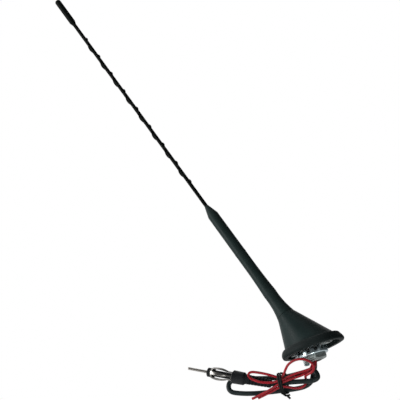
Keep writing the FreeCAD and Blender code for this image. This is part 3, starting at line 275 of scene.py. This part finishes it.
def make_metal_skin():
    """Plated metal: cloudy gloss, fine scratches and a shallow height."""
    tree, wiring, given, result = new_group(
        "metal_skin",
        [("Vector", None), ("Cloud Size", 5.0), ("Scratch Size", 0.25)],
        ["Cloud", "Scratch"],
    )
    cloud_scale = wiring.maths("DIVIDE", 1000.0, given["Cloud Size"])
    scratch_scale = wiring.maths("DIVIDE", 1000.0, given["Scratch Size"])
    cloud = wiring.noise(given["Vector"], cloud_scale, detail=5.0, roughness=0.65)
    scratch = wiring.noise(given["Vector"], scratch_scale, detail=2.0, roughness=0.5)
    wiring.join(cloud, result["Cloud"])
    wiring.join(scratch, result["Scratch"])
    return tree


GRAIN = make_moulded_grain()
DUST = make_handling_dust()
SKIN = make_metal_skin()


def new_material(name):
    material = bpy.data.materials.new(name)
    material.use_nodes = True
    wiring = Wiring(material.node_tree)
    shader = material.node_tree.nodes["Principled BSDF"]
    coordinates = wiring.add("ShaderNodeTexCoord").outputs["Object"]
    return material, wiring, shader, coordinates


def place_group(wiring, tree, coordinates, **values):
    node = wiring.add("ShaderNodeGroup", node_tree=tree)
    wiring.join(coordinates, node.inputs["Vector"])
    for label, value in values.items():
        node.inputs[label.replace("_", " ")].default_value = value
    return node.outputs


def bump(wiring, shader, height, strength, distance_mm, edge_mm=0.3):
    """A height pressed into the normal, over edges that shade as if rounded."""
    node = wiring.add("ShaderNodeBump")
    edge = wiring.add("ShaderNodeBevel", samples=4)
    edge.inputs["Radius"].default_value = edge_mm * MM
    wiring.join(edge.outputs["Normal"], node.inputs["Normal"])
    node.inputs["Strength"].default_value = strength
    node.inputs["Distance"].default_value = distance_mm * MM
    wiring.join(height, node.inputs["Height"])
    wiring.join(node.outputs["Normal"], shader.inputs["Normal"])


def moulded_black(name, color, dusty, gloss, grain_mm, depth_mm, dust=0.25, shine=0.08):
    """Black moulded plastic or rubber: grain from the mould, patches of gloss and light dust."""
    material, wiring, shader, coordinates = new_material(name)
    grain = place_group(wiring, GRAIN, coordinates, Grain_Size=grain_mm)
    specks = place_group(wiring, DUST, coordinates, Amount=dust)
    paler = tuple(channel * 1.35 for channel in color)
    tinted = wiring.mix(wiring.spread(grain["Patch"], 0.3, 0.7, 0.0, 1.0), color, paler)
    wiring.join(wiring.mix(specks["Mask"], tinted, dusty), shader.inputs["Base Color"])
    shader.inputs["Specular IOR Level"].default_value = shine
    rough = wiring.spread(grain["Patch"], 0.3, 0.7, gloss - 0.05, gloss + 0.07)
    dulled = wiring.maths("MULTIPLY", specks["Mask"], 0.3)
    wiring.join(wiring.maths("ADD", rough, dulled), shader.inputs["Roughness"])
    bump(wiring, shader, grain["Height"], 0.5, depth_mm)
    return material


def plated(name, color, dull, gloss, metal=1.0, cloud_mm=5.0, scratch_mm=0.25, depth_mm=0.01):
    """Plated or cast metal with cloudy gloss and fine scratches."""
    material, wiring, shader, coordinates = new_material(name)
    skin = place_group(wiring, SKIN, coordinates, Cloud_Size=cloud_mm, Scratch_Size=scratch_mm)
    clouds = wiring.spread(skin["Cloud"], 0.35, 0.65, 0.0, 1.0)
    wiring.join(wiring.mix(clouds, color, dull), shader.inputs["Base Color"])
    rough = wiring.spread(skin["Cloud"], 0.3, 0.7, gloss - 0.06, gloss + 0.1)
    wiring.join(rough, shader.inputs["Roughness"])
    shader.inputs["Metallic"].default_value = metal
    bump(wiring, shader, skin["Scratch"], 0.08, depth_mm, 0.15)
    return material, wiring, shader, coordinates, skin


THREAD_DEPTH = 0.55


def threaded(name, color, dull, gloss, axis_frame, pitch_mm, reach_mm, above_mm, below_mm, metal=1.0):
    """Metal with a screw thread pressed into the part of it that lies near the frame's Z."""
    material, wiring, shader, coordinates, skin = plated(name, color, dull, gloss, metal)
    mapping = wiring.add("ShaderNodeMapping", vector_type="TEXTURE")
    mapping.inputs["Location"].default_value = axis_frame.to_translation()
    mapping.inputs["Rotation"].default_value = axis_frame.to_euler()
    wiring.join(coordinates, mapping.inputs["Vector"])
    split = wiring.add("ShaderNodeSeparateXYZ")
    wiring.join(mapping.outputs["Vector"], split.inputs["Vector"])
    x, y, z = split.outputs
    turn = wiring.maths("DIVIDE", wiring.maths("ARCTAN2", y, x), 2 * math.pi)
    climb = wiring.maths("MULTIPLY", z, 1 / (pitch_mm * MM))
    wave = wiring.maths("PINGPONG", wiring.maths("SUBTRACT", climb, turn), 0.5)
    squares = wiring.maths("ADD", wiring.maths("MULTIPLY", x, x), wiring.maths("MULTIPLY", y, y))
    radius = wiring.maths("SQRT", squares)
    near = wiring.maths("LESS_THAN", radius, reach_mm * MM)
    low = wiring.maths("LESS_THAN", z, above_mm * MM)
    high = wiring.maths("GREATER_THAN", z, below_mm * MM)
    where = wiring.maths("MULTIPLY", near, wiring.maths("MULTIPLY", low, high))
    crests = wiring.maths("MULTIPLY", wave, where)
    scratches = wiring.maths("MULTIPLY", skin["Scratch"], 0.01)
    both = wiring.maths("ADD", wiring.maths("MULTIPLY", crests, 2.0), scratches)
    bump(wiring, shader, both, 1.0, pitch_mm * THREAD_DEPTH, 0.2)
    return material


def sheath(name, color, deep, gloss, size_mm=0.6, shine=0.15, dusty=(0.25, 0.22, 0.22)):
    """Extruded cable sheath: smooth, with slow changes of tone."""
    material, wiring, shader, coordinates = new_material(name)
    grain = place_group(wiring, GRAIN, coordinates, Grain_Size=size_mm, Patch_Size=6.0)
    specks = place_group(wiring, DUST, coordinates, Amount=0.15, Speck_Size=0.8)
    share = wiring.spread(grain["Patch"], 0.35, 0.65, 0.0, 1.0)
    toned = wiring.mix(share, color, deep)
    wiring.join(wiring.mix(specks["Mask"], toned, dusty), shader.inputs["Base Color"])
    rough = wiring.spread(grain["Patch"], 0.3, 0.7, gloss - 0.05, gloss + 0.08)
    wiring.join(rough, shader.inputs["Roughness"])
    shader.inputs["Specular IOR Level"].default_value = shine
    bump(wiring, shader, grain["Height"], 0.15, 0.03, 0.1)
    return material


# The materials

FOOT_AXIS = Matrix.Identity(4)
RAKE = math.radians(20.0)
RAKE_X = -1.0
SEAM_RISE = 39.4
SEAM = Vector((RAKE_X - SEAM_RISE * math.sin(RAKE), 0.0, SEAM_RISE * math.cos(RAKE))) * MM
MAST_AXIS = Matrix.Translation(SEAM) @ Matrix.Rotation(-RAKE, 4, "Y")

sleeve_black = moulded_black(
    "sleeve_black",
    color=(0.0115, 0.0205, 0.0195),
    dusty=(0.07, 0.08, 0.08),
    gloss=0.44,
    grain_mm=0.4,
    depth_mm=0.05,
    dust=0.08,
)
shell_black = moulded_black(
    "shell_black",
    color=(0.0065, 0.015, 0.0145),
    dusty=(0.07, 0.08, 0.08),
    gloss=0.42,
    grain_mm=0.4,
    depth_mm=0.05,
    dust=0.06,
    shine=0.1,
)
jacket_black = moulded_black(
    "jacket_black",
    color=(0.003, 0.004, 0.0035),
    dusty=(0.05, 0.06, 0.06),
    gloss=0.42,
    grain_mm=0.3,
    depth_mm=0.02,
    dust=0.03,
    shine=0.03,
)
cap_black = moulded_black(
    "cap_black",
    color=(0.0032, 0.0045, 0.004),
    dusty=(0.05, 0.06, 0.06),
    gloss=0.42,
    grain_mm=0.3,
    depth_mm=0.02,
    dust=0.03,
    shine=0.03,
)
gasket_rubber = moulded_black(
    "gasket_rubber",
    color=(0.0075, 0.0115, 0.0115),
    dusty=(0.09, 0.1, 0.1),
    gloss=0.56,
    grain_mm=0.25,
    depth_mm=0.04,
    dust=0.1,
)
bush_rubber = moulded_black(
    "bush_rubber",
    color=(0.01, 0.011, 0.012),
    dusty=(0.1, 0.1, 0.1),
    gloss=0.6,
    grain_mm=0.25,
    depth_mm=0.04,
    dust=0.2,
)
boot_rubber = moulded_black(
    "boot_rubber",
    color=(0.008, 0.009, 0.0105),
    dusty=(0.09, 0.09, 0.1),
    gloss=0.5,
    grain_mm=0.25,
    depth_mm=0.04,
    dust=0.12,
)
grip_black = moulded_black(
    "grip_black",
    color=(0.008, 0.009, 0.0105),
    dusty=(0.08, 0.08, 0.09),
    gloss=0.36,
    grain_mm=0.3,
    depth_mm=0.03,
    dust=0.12,
    shine=0.2,
)
washer_black = moulded_black(
    "washer_black",
    color=(0.014, 0.015, 0.016),
    dusty=(0.1, 0.1, 0.1),
    gloss=0.4,
    grain_mm=0.3,
    depth_mm=0.02,
    dust=0.1,
)
coax_black = sheath(
    "coax_black",
    color=(0.01, 0.016, 0.016),
    deep=(0.013, 0.02, 0.02),
    gloss=0.38,
    dusty=(0.06, 0.08, 0.08),
)
lead_red = sheath("lead_red", color=(0.38, 0.014, 0.024), deep=(0.27, 0.009, 0.016), gloss=0.36)
tie_black = sheath(
    "tie_black",
    color=(0.006, 0.007, 0.007),
    deep=(0.009, 0.01, 0.01),
    gloss=0.5,
    size_mm=0.6,
    shine=0.08,
    dusty=(0.04, 0.04, 0.04),
)
board_green = sheath("board_green", color=(0.02, 0.16, 0.06), deep=(0.015, 0.12, 0.045), gloss=0.4)
rod_steel = plated("rod_steel", color=(0.55, 0.56, 0.57), dull=(0.45, 0.46, 0.47), gloss=0.32)[0]
can_tin = plated("can_tin", color=(0.7, 0.71, 0.71), dull=(0.6, 0.61, 0.61), gloss=0.3)[0]
screw_zinc = plated("screw_zinc", color=(0.66, 0.68, 0.7), dull=(0.5, 0.52, 0.55), gloss=0.3)[0]
cup_zinc = plated(
    "cup_zinc", color=(0.66, 0.77, 0.8), dull=(0.54, 0.64, 0.68), gloss=0.2, cloud_mm=3.0
)[0]
nut_zinc = plated(
    "nut_zinc", color=(0.33, 0.37, 0.36), dull=(0.27, 0.3, 0.29), gloss=0.5, cloud_mm=2.5
)[0]
shell_nickel = plated(
    "shell_nickel", color=(0.34, 0.33, 0.31), dull=(0.24, 0.23, 0.215), gloss=0.26, cloud_mm=3.0
)[0]
pin_nickel = plated(
    "pin_nickel", color=(0.42, 0.4, 0.37), dull=(0.32, 0.3, 0.28), gloss=0.26, cloud_mm=2.5
)[0]
contact_brass = plated("contact_brass", color=(0.72, 0.52, 0.24), dull=(0.6, 0.42, 0.2), gloss=0.3)[0]
socket_brass = threaded(
    "socket_brass",
    color=(0.74, 0.56, 0.28),
    dull=(0.62, 0.46, 0.22),
    gloss=0.3,
    axis_frame=MAST_AXIS,
    pitch_mm=0.8,
    reach_mm=2.7,
    above_mm=-0.2,
    below_mm=-10.4,
)
ferrule_plate = threaded(
    "ferrule_plate",
    color=(0.66, 0.66, 0.66),
    dull=(0.54, 0.54, 0.55),
    gloss=0.3,
    axis_frame=MAST_AXIS,
    pitch_mm=0.8,
    reach_mm=2.7,
    above_mm=-0.2,
    below_mm=-7.5,
)
casting_zinc = threaded(
    "casting_zinc",
    color=(0.4, 0.42, 0.41),
    dull=(0.3, 0.32, 0.31),
    gloss=0.5,
    axis_frame=FOOT_AXIS,
    pitch_mm=1.5,
    reach_mm=6.05,
    above_mm=1.5,
    below_mm=-9.2,
    metal=0.85,
)

NODE_FINISH = {
    "whip_tip_cap": cap_black,
    "whip_core": rod_steel,
    "whip_jacket": jacket_black,
    "mast_ferrule": ferrule_plate,
    "mast_sleeve": sleeve_black,
    "foot_shell": shell_black,
    "mast_socket": socket_brass,
    "mast_contact": contact_brass,
    "foot_gasket": gasket_rubber,
    "base_casting": casting_zinc,
    "amplifier_board": board_green,
    "screening_can": can_tin,
    "board_screws": screw_zinc,
    "base_screws": screw_zinc,
    "cable_bush": bush_rubber,
    "clamp_cup": cup_zinc,
    "roof_nut": nut_zinc,
    "plug_boot": boot_rubber,
    "plug_sleeve": grip_black,
    "plug_shell": shell_nickel,
    "plug_insulator": washer_black,
    "plug_pin": pin_nickel,
}

CREASE = math.radians(28.0)


def dress_solids():
    """Give each solid its finish, and smooth shading that stops at its real edges."""
    for name, material in NODE_FINISH.items():
        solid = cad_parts[name]
        solid.data.materials.clear()
        solid.data.materials.append(material)
        for face in solid.data.polygons:
            face.use_smooth = True
        weld = solid.modifiers.new("weld", "WELD")
        weld.merge_threshold = 0.000002
        split = solid.modifiers.new("crease", "EDGE_SPLIT")
        split.split_angle = CREASE


# Cables


def lay_cable(name, route, diameter, material, node, body="foot"):
    """A round cable on one smooth curve through its route."""
    curve = bpy.data.curves.new(name, "CURVE")
    curve.dimensions = "3D"
    curve.resolution_u = 10
    curve.bevel_depth = diameter / 2 * MM
    curve.bevel_resolution = 5
    curve.use_fill_caps = True
    line = curve.splines.new("NURBS")
    line.points.add(len(route) - 1)
    for point, place in zip(line.points, route):
        point.co = (*hank_point(place), 1.0)
    line.order_u = 3
    line.use_endpoint_u = True
    curve.materials.append(material)
    cable = bpy.data.objects.new(name, curve)
    bpy.context.scene.collection.objects.link(cable)
    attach(cable, body)
    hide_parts(node)
    return cable


def lay_cables():
    coax = lay_cable("coax", COAX_ROUTE, COAX_DIAMETER, coax_black, "coax_cable")
    for name, route, length, node in (
        ("red_lead_long", LONG_ROUTE, LONG_LENGTH, "long_red_lead"),
        ("red_lead_short", SHORT_ROUTE, SHORT_LENGTH, "short_red_lead"),
    ):
        lead = lay_cable(name, route, LEAD_DIAMETER, lead_red, node)


# Twist tie


TIE_CENTRE = (33.6, 0.8, -17.3)
TIE_SLOPE = math.radians(9.0)
TIE_REACH = (8.5, 8.8)
TIE_CORNER = 3.9
TIE_STEP = 1.15
TIE_WRAPS = 2.0
WRAP_STEPS = 120
KNOT = (5.0, -9.1)
NECK_DROP = 2.2
NECK_STEPS = 30
NECK_TWIST = 3.2 * math.pi
STRAND_SWING = 0.5
END_STEPS = 12
STRIP_WIDTH = 1.9
END_WIDTH = 1.7
STRIP_EDGE = 0.17
BEAD = [(0.5, 0.19), (0.3, 0.4), (0.0, 0.47), (-0.3, 0.4), (-0.5, 0.19)]
TIE_ENDS = [
    ("tie_end_long", 0.0, (4.4, -14.2, -5.4)),
    ("tie_end_short", math.pi, (5.2, -11.2, -6.0)),
]


def tie_point(across, height, along):
    """A point of the tie's own frame, in millimetres, in the object's frame."""
    x = TIE_CENTRE[0] + along * math.cos(TIE_SLOPE) - height * math.sin(TIE_SLOPE)
    z = TIE_CENTRE[2] + along * math.sin(TIE_SLOPE) + height * math.cos(TIE_SLOPE)
    return hank_point((x, TIE_CENTRE[1] + across, z))


def loop_spot(share):
    """Place on the tied loop, a rounded rectangle, from the knot and back to it as share goes 0 to 1."""
    deep, high, corner = TIE_REACH[0], TIE_REACH[1], TIE_CORNER
    sides = [
        ((KNOT[0], -high), (deep - corner, -high), None),
        ((deep - corner, -high + corner), -90.0, 0.0),
        ((deep, -high + corner), (deep, high - corner), None),
        ((deep - corner, high - corner), 0.0, 90.0),
        ((deep - corner, high), (-deep + corner, high), None),
        ((-deep + corner, high - corner), 90.0, 180.0),
        ((-deep, high - corner), (-deep, -high + corner), None),
        ((-deep + corner, -high + corner), 180.0, 270.0),
        ((-deep + corner, -high), (KNOT[0], -high), None),
    ]
    bend = corner * math.pi / 2
    lengths = [bend if stop is not None else math.dist(start, end) for start, end, stop in sides]
    left = share * sum(lengths)
    for (start, end, stop), length in zip(sides, lengths):
        if left <= length or (start, end, stop) == sides[-1]:
            part = min(left / max(length, 1e-6), 1.0)
            if stop is None:
                return tuple(a + (b - a) * part for a, b in zip(start, end))
            angle = math.radians(end + (stop - end) * part)
            return start[0] + corner * math.cos(angle), start[1] + corner * math.sin(angle)
        left -= length
    return KNOT


def sweep_strip(name, spots, widths, width_mm=STRIP_WIDTH):
    """A flat tie strip with a wire bead down its middle, along spots, with its width along widths."""
    half = width_mm / 2
    side = [(half, STRIP_EDGE), *BEAD, (-half, STRIP_EDGE)]
    section = side + [(-across, -lift) for across, lift in side]
    mesh = bmesh.new()
    rings = []
    last = len(spots) - 1
    for index, spot in enumerate(spots):
        ahead = (spots[min(index + 1, last)] - spots[max(index - 1, 0)]).normalized()
        wide = (widths[index] - ahead * widths[index].dot(ahead)).normalized()
        thick = ahead.cross(wide)
        ring = [mesh.verts.new(spot + (wide * across + thick * lift) * MM) for across, lift in section]
        rings.append(ring)
    count = len(section)
    for one, two in zip(rings, rings[1:]):
        for index in range(count):
            following = (index + 1) % count
            mesh.faces.new((one[index], one[following], two[following], two[index]))
    mesh.faces.new(list(reversed(rings[0])))
    mesh.faces.new(rings[-1])
    bmesh.ops.recalc_face_normals(mesh, faces=mesh.faces)
    data = bpy.data.meshes.new(name)
    mesh.to_mesh(data)
    mesh.free()
    for face in data.polygons:
        face.use_smooth = True
    data.materials.append(tie_black)
    strip = bpy.data.objects.new(name, data)
    bpy.context.scene.collection.objects.link(strip)
    crease = strip.modifiers.new("crease", "EDGE_SPLIT")
    crease.split_angle = math.radians(50.0)
    return strip


def make_tie():
    """Two wraps round the hank, a short twisted neck under it, and two cut ends."""
    along = (tie_point(0, 0, 1) - tie_point(0, 0, 0)).normalized()
    spots, widths = [], []
    for step in range(WRAP_STEPS + 1):
        share = step / WRAP_STEPS * TIE_WRAPS
        turn = share - 1.0 if share > 1.0 else share
        ease = min(max((share - 0.55) / 0.9, 0.0), 1.0)
        shift = -TIE_STEP + 2 * TIE_STEP * ease * ease * (3 - 2 * ease)
        across, height = loop_spot(min(turn, 1.0))
        spots.append(tie_point(across, height, shift))
        widths.append(along)
    pieces = [sweep_strip("tie_wraps", spots, widths)]
    for name, phase, end in TIE_ENDS:
        spots, widths = [], []
        for step in range(NECK_STEPS + 1):
            share = step / NECK_STEPS
            angle = phase + share * NECK_TWIST
            core = (KNOT[0] - 0.3 * share, KNOT[1] + 0.2 - NECK_DROP * share, -NECK_DROP * share)
            aside, ahead = STRAND_SWING * math.sin(angle), STRAND_SWING * math.cos(angle)
            spots.append(tie_point(core[0] + aside, core[1] - ahead * 0.7, core[2] + ahead * 0.7))
            widths.append((tie_point(ahead, 0, -aside) - tie_point(0, 0, 0)).normalized())
        reach = Vector(tie_point(*end))
        start = spots[-1]
        turned = widths[-1]
        flat = (reach - start).cross(eye_place() - start).normalized()
        if flat.dot(turned) < 0.0:
            flat.negate()
        for step in range(1, END_STEPS + 1):
            share = step / END_STEPS
            spots.append(start.lerp(reach, share))
            widths.append(turned.lerp(flat, min(share * 2.0, 1.0)).normalized())
        pieces.append(sweep_strip(name, spots, widths, END_WIDTH))
    for piece in pieces:
        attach(piece, "foot")
        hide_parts("hank_tie")


# Stage


AIR_LIGHT = 0.18
AIR_TINT = (0.8, 0.83, 0.85, 1.0)
FLOOR_PAINT = (0.85, 0.85, 0.85, 1.0)
FLOOR_SEEN = 0.55
FLOOR_MIRRORED = 0.3


def make_stage():
    """White surroundings, a plain pale floor under the view, and soft light from all round."""
    world = bpy.data.worlds.new("studio")
    bpy.context.scene.world = world
    world.use_nodes = True
    wiring = Wiring(world.node_tree)
    background = world.node_tree.nodes["Background"]
    out = world.node_tree.nodes["World Output"]
    background.inputs["Color"].default_value = AIR_TINT
    background.inputs["Strength"].default_value = AIR_LIGHT
    paper = wiring.add("ShaderNodeBackground")
    paper.inputs["Color"].default_value = (1.0, 1.0, 1.0, 1.0)
    path = wiring.add("ShaderNodeLightPath")
    choose = wiring.add("ShaderNodeMixShader")
    shown = wiring.maths("ADD", path.outputs["Is Camera Ray"], path.outputs["Is Glossy Ray"])
    shown = wiring.maths("MINIMUM", wiring.maths("ADD", shown, path.outputs["Is Transmission Ray"]), 1.0)
    wiring.join(shown, choose.inputs[0])
    wiring.join(background.outputs[0], choose.inputs[1])
    wiring.join(paper.outputs[0], choose.inputs[2])
    wiring.join(choose.outputs[0], out.inputs["Surface"])

    bpy.ops.mesh.primitive_plane_add(size=8.0, location=(0.0, 0.0, FLOOR_HEIGHT))
    floor = bpy.context.object
    floor.name = "floor"
    paint = bpy.data.materials.new("floor_paper")
    paint.use_nodes = True
    sheet = paint.node_tree.nodes["Principled BSDF"]
    sheet.inputs["Base Color"].default_value = FLOOR_PAINT
    sheet.inputs["Roughness"].default_value = 0.9
    sheet.inputs["Emission Color"].default_value = (1.0, 1.0, 1.0, 1.0)
    glow = Wiring(paint.node_tree)
    path = glow.add("ShaderNodeLightPath").outputs
    seen = glow.maths("MULTIPLY", path["Is Camera Ray"], FLOOR_SEEN)
    mirrored = glow.maths("MULTIPLY", path["Is Glossy Ray"], FLOOR_MIRRORED)
    glow.join(glow.maths("ADD", seen, mirrored), sheet.inputs["Emission Strength"])
    floor.data.materials.append(paint)


CARD_STEPS = 12


def dark_card(name, azimuth_from, azimuth_to, low, high, reach, shade):
    """A curved card that only reflections see, so that metal has something dark to mirror."""
    mesh = bmesh.new()
    columns = []
    for step in range(CARD_STEPS + 1):
        angle = math.radians(azimuth_from + (azimuth_to - azimuth_from) * step / CARD_STEPS)
        x, y = math.sin(angle) * reach, -math.cos(angle) * reach
        columns.append((mesh.verts.new((x, y, low)), mesh.verts.new((x, y, high))))
    for one, two in zip(columns, columns[1:]):
        mesh.faces.new((one[0], two[0], two[1], one[1]))
    data = bpy.data.meshes.new(name)
    mesh.to_mesh(data)
    mesh.free()
    material = bpy.data.materials.new(name)
    material.use_nodes = True
    tree = material.node_tree
    tree.nodes.remove(tree.nodes["Principled BSDF"])
    wiring = Wiring(tree)
    glow = wiring.add("ShaderNodeEmission")
    glow.inputs["Color"].default_value = (shade, shade * 1.03, shade * 1.06, 1.0)
    wiring.join(glow.outputs[0], tree.nodes["Material Output"].inputs["Surface"])
    data.materials.append(material)
    card = bpy.data.objects.new(name, data)
    bpy.context.scene.collection.objects.link(card)
    card.visible_camera = False
    card.visible_diffuse = False
    card.visible_transmission = False
    card.visible_shadow = False


def soft_box(name, place, target, width, height, watts):
    light = bpy.data.lights.new(name, "AREA")
    light.shape = "RECTANGLE"
    light.size = width
    light.size_y = height
    light.energy = watts
    lamp = bpy.data.objects.new(name, light)
    lamp.location = place
    lamp.rotation_euler = (Vector(target) - Vector(place)).to_track_quat("-Z", "Y").to_euler()
    bpy.context.scene.collection.objects.link(lamp)


def eye_place():
    azimuth, elevation = math.radians(VIEW_AZIMUTH), math.radians(VIEW_ELEVATION)
    level = math.cos(elevation)
    away = Vector((math.sin(azimuth) * level, -math.cos(azimuth) * level, math.sin(elevation)))
    return VIEW_TARGET + away * VIEW_DISTANCE


def make_camera():
    data = bpy.data.cameras.new("camera")
    data.lens = LENS_MM
    data.sensor_width = 36.0
    data.clip_start = 0.05
    camera = bpy.data.objects.new("camera", data)
    place = eye_place()
    look = (VIEW_TARGET - place).to_track_quat("-Z", "Y").to_matrix().to_4x4()
    roll = Matrix.Rotation(math.radians(-VIEW_ROLL), 4, "Z")
    camera.matrix_world = Matrix.Translation(place) @ look @ roll
    bpy.context.scene.collection.objects.link(camera)
    bpy.context.scene.camera = camera


FOOT = (0.0, 0.0, 0.0)
MIDDLE = (-0.05, 0.0, 0.1)
# Each lamp: its name, place, what it points at, its width and height, and its watts
LAMPS = [
    ("key_left", (-0.76, -1.03, 0.6), MIDDLE, (0.5, 1.0), 14.5),
    ("fill_right", (1.2, -0.2, 0.3), MIDDLE, (0.6, 1.2), 0.4),
    ("top", (0.0, 0.1, 1.4), MIDDLE, (1.0, 1.0), 1.0),
    ("under", (0.3, -0.6, -0.42), FOOT, (0.3, 0.3), 2.4),
]
CARD = {
    "azimuth_from": VIEW_AZIMUTH - 58.0,
    "azimuth_to": VIEW_AZIMUTH + 150.0,
    "low": -3.4,
    "high": 12.0,
    "reach": 1.9,
    "shade": 0.08,
}


def make_lights():
    for name, place, target, (width, height), watts in LAMPS:
        soft_box(name, place, target, width, height, watts)
    dark_card("card_front", **CARD)


bpy.context.scene.view_settings.view_transform = "Standard"
dress_solids()
lay_cables()
make_tie()
make_stage()
make_lights()
make_camera()
